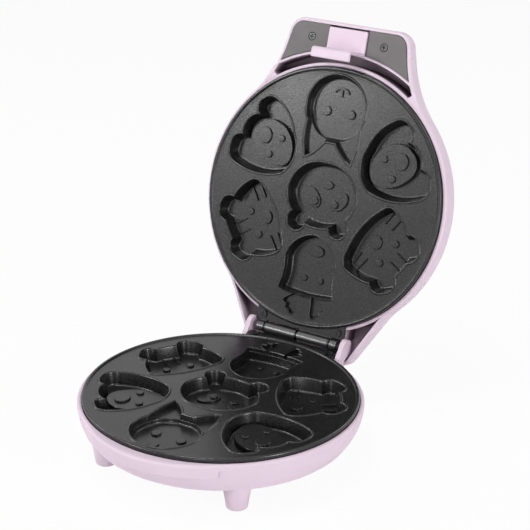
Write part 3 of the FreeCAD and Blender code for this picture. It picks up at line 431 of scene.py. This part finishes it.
def face_reliefs(bm):
    """Eyes, noses, muzzles and stripes on the mould floors."""
    floor = mould_depth + face_drop
    rabbit_floor = rabbit_depth + face_drop
    puppy_floor = floor - puppy_rise
    relief(bm, rabbit_mouth(), rabbit_floor, raised, fine_ease)
    relief(bm, oval(0, -10.2, 4.8, 3.4), floor, raised)
    relief(bm, oval(0, 43.5, 6.4, 4.5), floor, raised)
    one_side = [
        # Rabbit's eye, panda's eye patch and eye, and deer's eye
        (oval(10.8, -67.7, 3.8, 3.8), rabbit_floor, raised),
        (oval(12, 1.5, 6.0, 9.2, 42), floor, raised),
        (oval(9.0, 4.0, 3.2, 3.2), floor - raised, raised),
        (oval(7.4, 66.3, 2.5, 2.5), floor, raised),
        # Puppy's face, eyes and nose
        (rounded(puppy_face()), floor, puppy_rise),
        (oval(55.5, -25.2, 2.9, 2.9), puppy_floor, raised),
        (oval(46.2, -39.4, 2.9, 2.9), puppy_floor, raised),
        (oval(61.2, -39.6, 5.6, 6.8), puppy_floor, raised),
        # Tiger's eyes and muzzle
        (oval(55.3, 40.8, 3.0, 3.0), floor, raised),
        (oval(66, 23.8, 3.0, 3.0), floor, raised),
        (oval(50, 25.6, 4.6, 5.6), floor, raised),
    ]
    tiger_stripes = [((38, 48.5), (44, 40)), ((33.5, 44.5), (38, 36.5)), ((54.5, 9.5), (60, 1)),
                     ((61, 13.5), (67, 4.5)), ((64.5, 38.5), (72.5, 43.5)), ((69, 30.5), (77, 35.5))]
    for side in (1, -1):
        for outline, level, height in one_side:
            relief(bm, on_side(outline, side), level, height)
        for start, end in tiger_stripes:
            relief(bm, on_side(bar(start, end, stripe_width), side), floor, raised, fine_ease)


def plate_rim(bm, edges):
    """Raised bead, round edge and skirt outside the face, closed by a flat underside."""
    loop = edges
    for offset, height in rim_steps:
        made = bmesh.ops.extrude_edge_only(bm, edges=loop)["geom"]
        loop = [e for e in made if isinstance(e, bmesh.types.BMEdge)]
        for v in {v for e in loop for v in e.verts}:
            scale = (plate_radius + offset) * mm / math.hypot(v.co.x, v.co.y)
            v.co = Vector((v.co.x * scale, v.co.y * scale, height * mm))
    bmesh.ops.contextual_create(bm, geom=loop)


def plate_bmesh():
    """Plate with moulds, reliefs and rim; the rim's top is at height 0."""
    bm = bmesh.new()
    made = bmesh.ops.create_circle(bm, segments=face_sides, radius=(plate_radius - face_edge) * mm)
    bmesh.ops.translate(bm, verts=made["verts"], vec=(0, 0, -face_drop * mm))
    rim = list(bm.edges)
    rabbit = mould_mouth(bm, rabbit_outline(), rounds=0)
    deer = mould_mouth(bm, deer_outline(), rounds=0, outside=fine_lip_outside)
    deep = [mould_mouth(bm, panda_outline())]
    for side in (1, -1):
        deep += [mould_mouth(bm, on_side(outline, side)) for outline in (puppy_outline(), tiger_outline())]
    boundary = rim + [e for face in [rabbit, deer] + deep for e in face.edges]
    bmesh.ops.triangle_fill(bm, use_beauty=True, use_dissolve=False, edges=boundary, normal=(0, 0, 1))
    # Cuts between head and ear or antler, as (start, end, through)
    ear = ((23, -59.5), (5, -44.6), (15.7, -50.3))
    antler = ((9.6, 79.2), (6.6, 79.2), (8.1, 79.0))
    sink_stepped(bm, rabbit, lip_steps, ear_depth, rabbit_depth, wall_draft, paired(ear))
    sink_stepped(bm, deer, fine_lip_steps, antler_depth, mould_depth, antler_draft, paired(antler))
    for face in deep:
        sink_deep(bm, face)
    plate_rim(bm, rim)
    face_reliefs(bm)
    bmesh.ops.recalc_face_normals(bm, faces=bm.faces)
    return bm


def base_plate(finish):
    """Plate in the base, face up."""
    name = "base_baking_plate"
    bm = plate_bmesh()
    bmesh.ops.translate(bm, verts=bm.verts, vec=(0, 0, plate_face))
    piece = new_piece(name, to_mesh(bm, name), finish, "base")
    even_shading(piece)
    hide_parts("base_plate")


def lid_plate(finish):
    """Plate in the lid, face down when shut."""
    name = "lid_baking_plate"
    bm = plate_bmesh()
    shut = Matrix.Translation((0, 0, lid_face)) @ Matrix.Rotation(math.pi, 4, "Y")
    bmesh.ops.transform(bm, matrix=swing_open @ shut, verts=bm.verts)
    piece = new_piece(name, to_mesh(bm, name), finish, "lid")
    even_shading(piece)
    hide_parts("lid_plate")


# Handle, slot and latch

def polar(radius, degrees):
    """Point on the lid, shut and seen from above, by its angle from the front."""
    turn = math.radians(degrees)
    return radius * math.sin(turn), -radius * math.cos(turn)


def slot_end_outline():
    """Web that closes the slot beside the handle, with a round end."""
    return closed(polar(105.3, 32.6), (polar(105.3, 36), polar(105.3, 39.5)), polar(107.6, 40),
                  polar(110.2, 37), polar(113.0, 34), polar(114.4, 31.6), polar(113.8, 31.2),
                  (polar(109.7, 33.9), polar(105.3, 32.6)))


def slot_ends(finish):
    """Both ends of the slot between the plate's ring and the handle."""
    level = 51.2
    depth = 12.0
    for name, side in (("slot_end_right", 1), ("slot_end_left", -1)):
        bm = bmesh.new()
        face = flat_face(bm, on_side(slot_end_outline(), side), level)
        pulled(bm, face, (0, 0, depth * mm))
        bmesh.ops.recalc_face_normals(bm, faces=bm.faces)
        bmesh.ops.transform(bm, matrix=swing_open, verts=bm.verts)
        new_piece(name, to_mesh(bm, name), finish, "lid")


def on_insert_face(edge):
    """Edge in the plane of the handle insert's face."""
    return all(abs((swing_shut @ v.co).z - insert_level) < tolerance for v in edge.verts)


def on_screw_rim(edge):
    """Edge of a handle screw's head, away from its cross recess."""
    places = [swing_shut @ v.co for v in edge.verts]
    away = [math.hypot(abs(p.x) - screw_aside, p.y - screw_ahead) for p in places]
    return on_insert_face(edge) and min(away) > screw_rim


def latch_profile():
    """Side view of the latch, shut: press plate, arm and thin hook, as (y, z)."""
    return closed((-131.6, 48.4), (-117.4, 48.4), ((-116.55, 48.05), (-116.2, 47.2)), (-116.2, 27.4),
                  ((-115.41, 25.49), (-113.5, 24.7)), (-109.2, 24.7), ((-108.35, 25.05), (-108.0, 25.9)),
                  (-108.0, 27.5), (-113.4, 27.5), ((-113.82, 27.68), (-114.0, 28.1)), (-114.0, 50.0),
                  ((-114.23, 50.57), (-114.8, 50.8)), (-131.6, 50.8), ((-132.45, 50.45), (-132.8, 49.6)),
                  ((-132.45, 48.75), (-131.6, 48.4)))


def latch_lever(bm):
    """Press plate, arm and hook across the latch's width, with rounded ends."""
    corners = [(-latch_half * mm, y * mm, z * mm) for y, z in latch_profile()]
    side = bm.faces.new([bm.verts.new(corner) for corner in corners])
    pulled(bm, side, (2 * latch_half * mm, 0, 0))
    bmesh.ops.recalc_face_normals(bm, faces=bm.faces)
    ends = [e for e in bm.edges if abs(e.verts[0].co.x - e.verts[1].co.x) < tolerance]
    round_edges(bm, ends, latch_round)


def latch_catch(bm):
    """Wedge on the hook that goes under the ledge, narrower at its top."""
    low, high = 27.0, 33.7
    wide, narrow = latch_half - 0.6, latch_half - 5.4
    front, reach = -114.6, 6.5
    corners = [(-wide, low), (wide, low), (narrow, high), (-narrow, high)]
    face = bm.faces.new([bm.verts.new((x * mm, front * mm, z * mm)) for x, z in corners])
    pulled(bm, face, (0, reach * mm, 0))


def latch_barrel(bm):
    """Tube round the latch pin."""
    inner, outer = 1.55 * mm, 3.0 * mm
    axis = Vector((0, -119.5 * mm, 53.0 * mm))
    corners = [(-1, inner), (1, inner), (1, outer), (-1, outer)]
    ring = [bm.verts.new(axis + Vector((x * latch_half * mm, 0, -r))) for x, r in corners]
    edges = [bm.edges.new((a, b)) for a, b in zip(ring, ring[1:] + ring[:1])]
    bmesh.ops.spin(bm, geom=ring + edges, cent=axis, axis=(1, 0, 0), angle=math.tau, steps=32,
                   use_merge=True)


def latch_piece(finish):
    """Lever, catch and barrel as one moulded latch."""
    name = "catch_latch"
    bm = bmesh.new()
    latch_lever(bm)
    latch_catch(bm)
    latch_barrel(bm)
    bmesh.ops.recalc_face_normals(bm, faces=bm.faces)
    bmesh.ops.transform(bm, matrix=swing_open, verts=bm.verts)
    piece = new_piece(name, to_mesh(bm, name), finish, nodes["latch"]["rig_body"])
    even_shading(piece)
    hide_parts("latch")


def spring_piece(finish):
    """Leaf spring on the tray's floor, under the press plate."""
    piece = dressed("latch_spring", "latch_leaf_spring", finish, 0, lambda edge: False)
    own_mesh(piece)


# Material nodes

# Range that most noise values fall in, and where a broad noise blends one colour into the other
noise_range = (0.3, 0.7)
blend_range = (0.35, 0.65)
broad_share = 0.03

# Sockets of a colour Mix node
mix_share, mix_first, mix_second, mix_result = 0, 6, 7, 2


def material(name, colour, roughness, metallic=0.0):
    """Principled material with its node tree, shader and object coordinates."""
    made = bpy.data.materials.new(name)
    made.use_nodes = True
    tree = made.node_tree
    shader = tree.nodes["Principled BSDF"]
    shader.inputs["Base Color"].default_value = (*colour, 1)
    shader.inputs["Roughness"].default_value = roughness
    shader.inputs["Metallic"].default_value = metallic
    place = tree.nodes.new("ShaderNodeTexCoord")
    return made, tree, shader, place.outputs["Object"]


def noise(tree, place, scale, detail=2.0):
    """Noise with a scale per metre."""
    node = tree.nodes.new("ShaderNodeTexNoise")
    node.inputs["Scale"].default_value = scale
    node.inputs["Detail"].default_value = detail
    tree.links.new(place, node.inputs["Vector"])
    return node.outputs["Fac"]


def ramp(tree, value, stops):
    """Colour ramp through (position, colour) stops."""
    node = tree.nodes.new("ShaderNodeValToRGB")
    elements = node.color_ramp.elements
    for element, (position, colour) in zip(elements, stops):
        element.position = position
        element.color = (*colour, 1)
    tree.links.new(value, node.inputs["Fac"])
    return node.outputs["Color"]


def spread(tree, value, low, high, source=noise_range):
    """Map a value, as a rule a noise, to a range."""
    node = tree.nodes.new("ShaderNodeMapRange")
    node.inputs["From Min"].default_value = source[0]
    node.inputs["From Max"].default_value = source[1]
    node.inputs["To Min"].default_value = low
    node.inputs["To Max"].default_value = high
    tree.links.new(value, node.inputs["Value"])
    return node.outputs["Result"]


def bump(tree, shader, height, depth):
    """Surface grain with a depth in millimetres."""
    node = tree.nodes.new("ShaderNodeBump")
    node.inputs["Distance"].default_value = depth * mm
    tree.links.new(height, node.inputs["Height"])
    tree.links.new(node.outputs["Normal"], shader.inputs["Normal"])


def worked_out(tree, kind, operation, values, output=0):
    """Math or vector math node whose inputs are sockets or set values."""
    node = tree.nodes.new(kind)
    node.operation = operation
    for socket, value in zip(node.inputs, values):
        if isinstance(value, bpy.types.NodeSocket):
            tree.links.new(value, socket)
        else:
            socket.default_value = value
    return node.outputs[output]


def maths(tree, operation, *values):
    """Result of a math node."""
    return worked_out(tree, "ShaderNodeMath", operation, values)


def vector_maths(tree, operation, *values, output="Vector"):
    """Result of a vector math node."""
    return worked_out(tree, "ShaderNodeVectorMath", operation, values, output)


# Finishes

def varied_finish(name, colour, other, roughness, grain, depth, metallic=0.0):
    """Finish that varies a little in colour and gloss and has a fine surface grain."""
    made, tree, shader, place = material(name, colour, roughness[0], metallic)
    broad = noise(tree, place, grain * broad_share, detail=3.0)
    fine = noise(tree, place, grain)
    blend = ramp(tree, broad, list(zip(blend_range, (colour, other))))
    tree.links.new(blend, shader.inputs["Base Color"])
    tree.links.new(spread(tree, fine, *roughness), shader.inputs["Roughness"])
    bump(tree, shader, fine, depth)
    return made


def soften_edges(made, radius):
    """Let edges of a finish catch the light as small rounds."""
    tree = made.node_tree
    edge = tree.nodes.new("ShaderNodeBevel")
    edge.samples = 4
    edge.inputs["Radius"].default_value = radius
    grain = next(node for node in tree.nodes if node.bl_idname == "ShaderNodeBump")
    tree.links.new(edge.outputs["Normal"], grain.inputs["Normal"])


def shade_hollows(made, dark, reach, own_only, deep, free):
    """Paint shade into a finish's colour where less than a free share of the space above its surface is
    open.
    """
    tree = made.node_tree
    colour = tree.nodes["Principled BSDF"].inputs["Base Color"]
    plain = colour.links[0].from_socket
    hollow = tree.nodes.new("ShaderNodeAmbientOcclusion")
    hollow.samples = 8
    hollow.only_local = own_only
    hollow.inputs["Distance"].default_value = reach
    share = ramp(tree, hollow.outputs["AO"], [(deep, (0, 0, 0)), (free, (1, 1, 1))])
    mixed = tree.nodes.new("ShaderNodeMix")
    mixed.data_type = "RGBA"
    mixed.inputs[mix_first].default_value = (*dark, 1)
    tree.links.new(share, mixed.inputs[mix_share])
    tree.links.new(plain, mixed.inputs[mix_second])
    tree.links.new(mixed.outputs[mix_result], colour)


def casing_finish():
    """Satin pink plastic with softened edges, and painted shade that darkens it to purple in its deep
    hollows.
    """
    made = varied_finish("casing_plastic", (0.76, 0.62, 0.73), (0.775, 0.635, 0.745), (0.52, 0.6),
                         grain=1800, depth=0.012)
    soften_edges(made, radius=0.5 * mm)
    # Painted shade: dark purple mixed into the colour where the casing's own hollows close over it.
    shade_hollows(made, (0.045, 0.018, 0.036), reach=25 * mm, own_only=True, deep=0.12, free=0.6)
    return made


def insert_finish():
    """Grey-black matt plastic, with painted shade that turns it black in the narrow gaps around it."""
    made = varied_finish("insert_plastic", (0.13, 0.12, 0.122), (0.15, 0.138, 0.14), (0.5, 0.62),
                         grain=2200, depth=0.03)
    # Painted shade: black mixed into the colour in narrow gaps beside other parts.
    shade_hollows(made, (0.004, 0.004, 0.004), reach=2 * mm, own_only=False, deep=0.5, free=0.85)
    return made


def screw_finish():
    """Blackened steel, with painted shade that turns it black in the cross recess and around the head."""
    made = varied_finish("blackened_screw", (0.09, 0.09, 0.09), (0.12, 0.12, 0.12), (0.4, 0.5),
                         grain=1500, depth=0.01, metallic=0.9)
    # Painted shade: black mixed into the colour in the cross recess and the gap around the head.
    shade_hollows(made, (0.002, 0.002, 0.002), reach=2 * mm, own_only=False, deep=0.55, free=0.9)
    return made


def hinge_finish():
    """Gunmetal barrel with painted shade as black bands at its knuckle gaps, and black painted leaves away
    from the hinge axis.
    """
    gunmetal = (0.1, 0.1, 0.102)
    paint = (0.008, 0.008, 0.0085)
    leaf_from = (barrel_radius + 0.1 * mm, barrel_radius + 0.3 * mm)
    made, tree, shader, place = material("hinge_metal", gunmetal, roughness=0.3, metallic=1.0)
    apart = vector_maths(tree, "SUBTRACT", place, hinge_point)
    across = vector_maths(tree, "MULTIPLY", apart, (0, 1, 1))
    away = vector_maths(tree, "LENGTH", across, output="Value")
    leaf = spread(tree, away, 0.0, 1.0, leaf_from)
    parts = tree.nodes.new("ShaderNodeSeparateXYZ")
    tree.links.new(apart, parts.inputs["Vector"])
    along = maths(tree, "ABSOLUTE", parts.outputs["X"])
    # Painted shade: a black band at each knuckle gap, so the narrow gaps look as wide and dark as open
    # ones; painted holds this shade together with the leaves' real black paint.
    gap = maths(tree, "COMPARE", along, knuckle_end, knuckle_shade)
    painted = maths(tree, "MAXIMUM", leaf, gap)
    tree.links.new(ramp(tree, painted, [(0.0, gunmetal), (1.0, paint)]), shader.inputs["Base Color"])
    tree.links.new(ramp(tree, painted, [(0.0, (1, 1, 1)), (1.0, (0, 0, 0))]), shader.inputs["Metallic"])
    brushed = noise(tree, place, scale=1500)
    tree.links.new(spread(tree, brushed, low=0.26, high=0.36), shader.inputs["Roughness"])
    bump(tree, shader, brushed, depth=0.01)
    return made


def coating_finish():
    """Black non-stick coating with fine grain."""
    dark = (0.001, 0.001, 0.0011)
    light = (0.019, 0.019, 0.02)
    made, tree, shader, place = material("plate_coating", (0.007, 0.007, 0.0073), roughness=0.3)
    shader.inputs["Specular IOR Level"].default_value = 0.5
    speckle = noise(tree, place, scale=1100)
    grain = noise(tree, place, scale=2600, detail=3.0)
    tree.links.new(ramp(tree, speckle, [(0.42, dark), (0.62, light)]), shader.inputs["Base Color"])
    tree.links.new(spread(tree, grain, low=0.2, high=0.32), shader.inputs["Roughness"])
    bump(tree, shader, speckle, depth=0.05)
    return made


# Plain finishes: colour, other colour, roughness range, grain per metre, its depth in millimetres, metal
plain_finishes = {
    "reflector_sheet": ((0.7, 0.71, 0.72), (0.62, 0.63, 0.64), (0.25, 0.4), 900, 0.02, 1.0),
    "heater_tube": ((0.2, 0.19, 0.18), (0.3, 0.29, 0.28), (0.35, 0.55), 900, 0.03, 0.9),
    "steel": ((0.55, 0.55, 0.56), (0.62, 0.62, 0.63), (0.25, 0.35), 1500, 0.01, 1.0),
    "thermostat_body": ((0.75, 0.71, 0.62), (0.7, 0.66, 0.57), (0.5, 0.6), 1200, 0.02),
    "terminal_plastic": ((0.85, 0.84, 0.8), (0.8, 0.79, 0.75), (0.4, 0.5), 1200, 0.02),
    "lead_sleeve": ((0.75, 0.72, 0.66), (0.68, 0.65, 0.6), (0.5, 0.6), 1500, 0.02),
    "grommet_rubber": ((0.03, 0.03, 0.03), (0.045, 0.045, 0.045), (0.5, 0.65), 1500, 0.03),
    "pad_rubber": ((0.16, 0.145, 0.15), (0.2, 0.18, 0.19), (0.6, 0.75), 1500, 0.04),
    "red_lens": ((0.55, 0.02, 0.02), (0.6, 0.03, 0.03), (0.1, 0.16), 1500, 0.005),
    "green_lens": ((0.04, 0.42, 0.09), (0.05, 0.48, 0.1), (0.1, 0.16), 1500, 0.005),
    "lamp_glass": ((0.85, 0.8, 0.76), (0.9, 0.85, 0.8), (0.05, 0.1), 1500, 0.005),
}


def finishes():
    """Material for each slot of the record."""
    made = {slot: varied_finish(slot, *looks) for slot, looks in plain_finishes.items()}
    made["casing_plastic"] = casing_finish()
    made["plate_coating"] = coating_finish()
    made["hinge_metal"] = hinge_finish()
    made["insert_plastic"] = insert_finish()
    made["blackened_screw"] = screw_finish()
    return made


def dress_nodes(finish_of):
    """Give every CAD node the finish of its slot."""
    for part in frame["record"]["subparts"]:
        data = nodes[part["node"]].data
        data.materials.clear()
        data.materials.append(finish_of[part["material_slot"]])


# Stage, light and camera

def camera():
    """Camera fitted to the photo, in metres."""
    azimuth = math.radians(31.39)
    elevation = math.radians(22.29)
    roll = math.radians(0.94)
    place = Vector((0.57087, -0.87616, 0.57685))
    right = Vector((math.cos(azimuth), math.sin(azimuth), 0))
    back = Vector((math.sin(azimuth) * math.cos(elevation), -math.cos(azimuth) * math.cos(elevation),
                   math.sin(elevation)))
    up = back.cross(right)
    rolled_right = right * math.cos(roll) + up * math.sin(roll)
    rolled_up = up * math.cos(roll) - right * math.sin(roll)
    data = bpy.data.cameras.new("camera")
    data.lens = 107.16
    data.sensor_width = 36.0
    cam = bpy.data.objects.new("camera", data)
    axes = Matrix((rolled_right, rolled_up, back)).transposed().to_4x4()
    cam.matrix_world = Matrix.Translation(place) @ axes
    bpy.context.scene.collection.objects.link(cam)
    bpy.context.scene.camera = cam


def seen_directly(tree):
    """One for camera, mirror and see-through rays, nought for the light that falls on things."""
    path = tree.nodes.new("ShaderNodeLightPath")
    first = maths(tree, "MAXIMUM", path.outputs["Is Camera Ray"], path.outputs["Is Glossy Ray"])
    return maths(tree, "MAXIMUM", first, path.outputs["Is Transmission Ray"])


def white_world():
    """World that is white to look at and gives a plain, low light."""
    light, seen = 0.16, 1.0
    world = bpy.data.worlds.new("studio")
    world.use_nodes = True
    tree = world.node_tree
    background = tree.nodes["Background"]
    background.inputs["Color"].default_value = (1, 1, 1, 1)
    strength = spread(tree, seen_directly(tree), light, seen, (0.0, 1.0))
    tree.links.new(strength, background.inputs["Strength"])
    bpy.context.scene.world = world


def white_floor():
    """Floor that looks almost white and keeps a share of the object's shadow."""
    half_size = 6.0
    paper_white = (0.92, 0.92, 0.92, 1)
    glow_share = 0.94
    bm = bmesh.new()
    bmesh.ops.create_grid(bm, x_segments=1, y_segments=1, size=half_size)
    floor = bpy.data.objects.new("floor", to_mesh(bm, "floor"))
    bpy.context.scene.collection.objects.link(floor)
    made = bpy.data.materials.new("floor_white")
    made.use_nodes = True
    tree = made.node_tree
    tree.nodes.remove(tree.nodes["Principled BSDF"])
    paper = tree.nodes.new("ShaderNodeBsdfDiffuse")
    paper.inputs["Color"].default_value = paper_white
    glow = tree.nodes.new("ShaderNodeEmission")
    share = maths(tree, "MULTIPLY", seen_directly(tree), glow_share)
    mixed = tree.nodes.new("ShaderNodeMixShader")
    tree.links.new(share, mixed.inputs["Fac"])
    tree.links.new(paper.outputs[0], mixed.inputs[1])
    tree.links.new(glow.outputs[0], mixed.inputs[2])
    tree.links.new(mixed.outputs[0], tree.nodes["Material Output"].inputs["Surface"])
    floor.data.materials.append(made)


def softbox(name, place, size, power):
    """Area lamp that looks at the middle of the object."""
    middle = Vector((0, 0.05, 0.12))
    data = bpy.data.lights.new(name, "AREA")
    data.shape = "RECTANGLE"
    data.size, data.size_y = size
    data.energy = power
    lamp = bpy.data.objects.new(name, data)
    lamp.location = place
    lamp.rotation_mode = "QUATERNION"
    lamp.rotation_quaternion = (middle - Vector(place)).to_track_quat("-Z", "Y")
    bpy.context.scene.collection.objects.link(lamp)


def lights():
    """Lamps with their place and size in metres and their power in watts."""
    softbox("top_softbox", (-0.15, -0.3, 1.5), (0.45, 0.45), 7)
    softbox("right_strip", (1.3, -0.35, 0.4), (0.22, 0.8), 8)
    softbox("left_strip", (-1.3, -0.3, 0.7), (0.22, 1.0), 5)
    softbox("front_left_softbox", (-1.1, -1.4, 0.86), (0.45, 0.45), 11)
    softbox("back_softbox", (0.8, 1.4, 1.0), (0.6, 0.6), 5)
    softbox("front_right_strip", (0.5, -1.45, 0.32), (0.22, 0.5), 3)


ready = finishes()
dress_nodes(ready)
base_plate(ready["plate_coating"])
lid_plate(ready["plate_coating"])
slot_ends(ready["casing_plastic"])
latch_piece(ready["casing_plastic"])
spring_piece(ready["steel"])
dressed("handle_insert", "insert_cover", ready["insert_plastic"], insert_round, on_insert_face)
dressed("handle_screws", "handle_screw_heads", ready["blackened_screw"], screw_round, on_screw_rim)
camera()
white_world()
white_floor()
lights()
bpy.context.scene.view_settings.view_transform = "Standard"
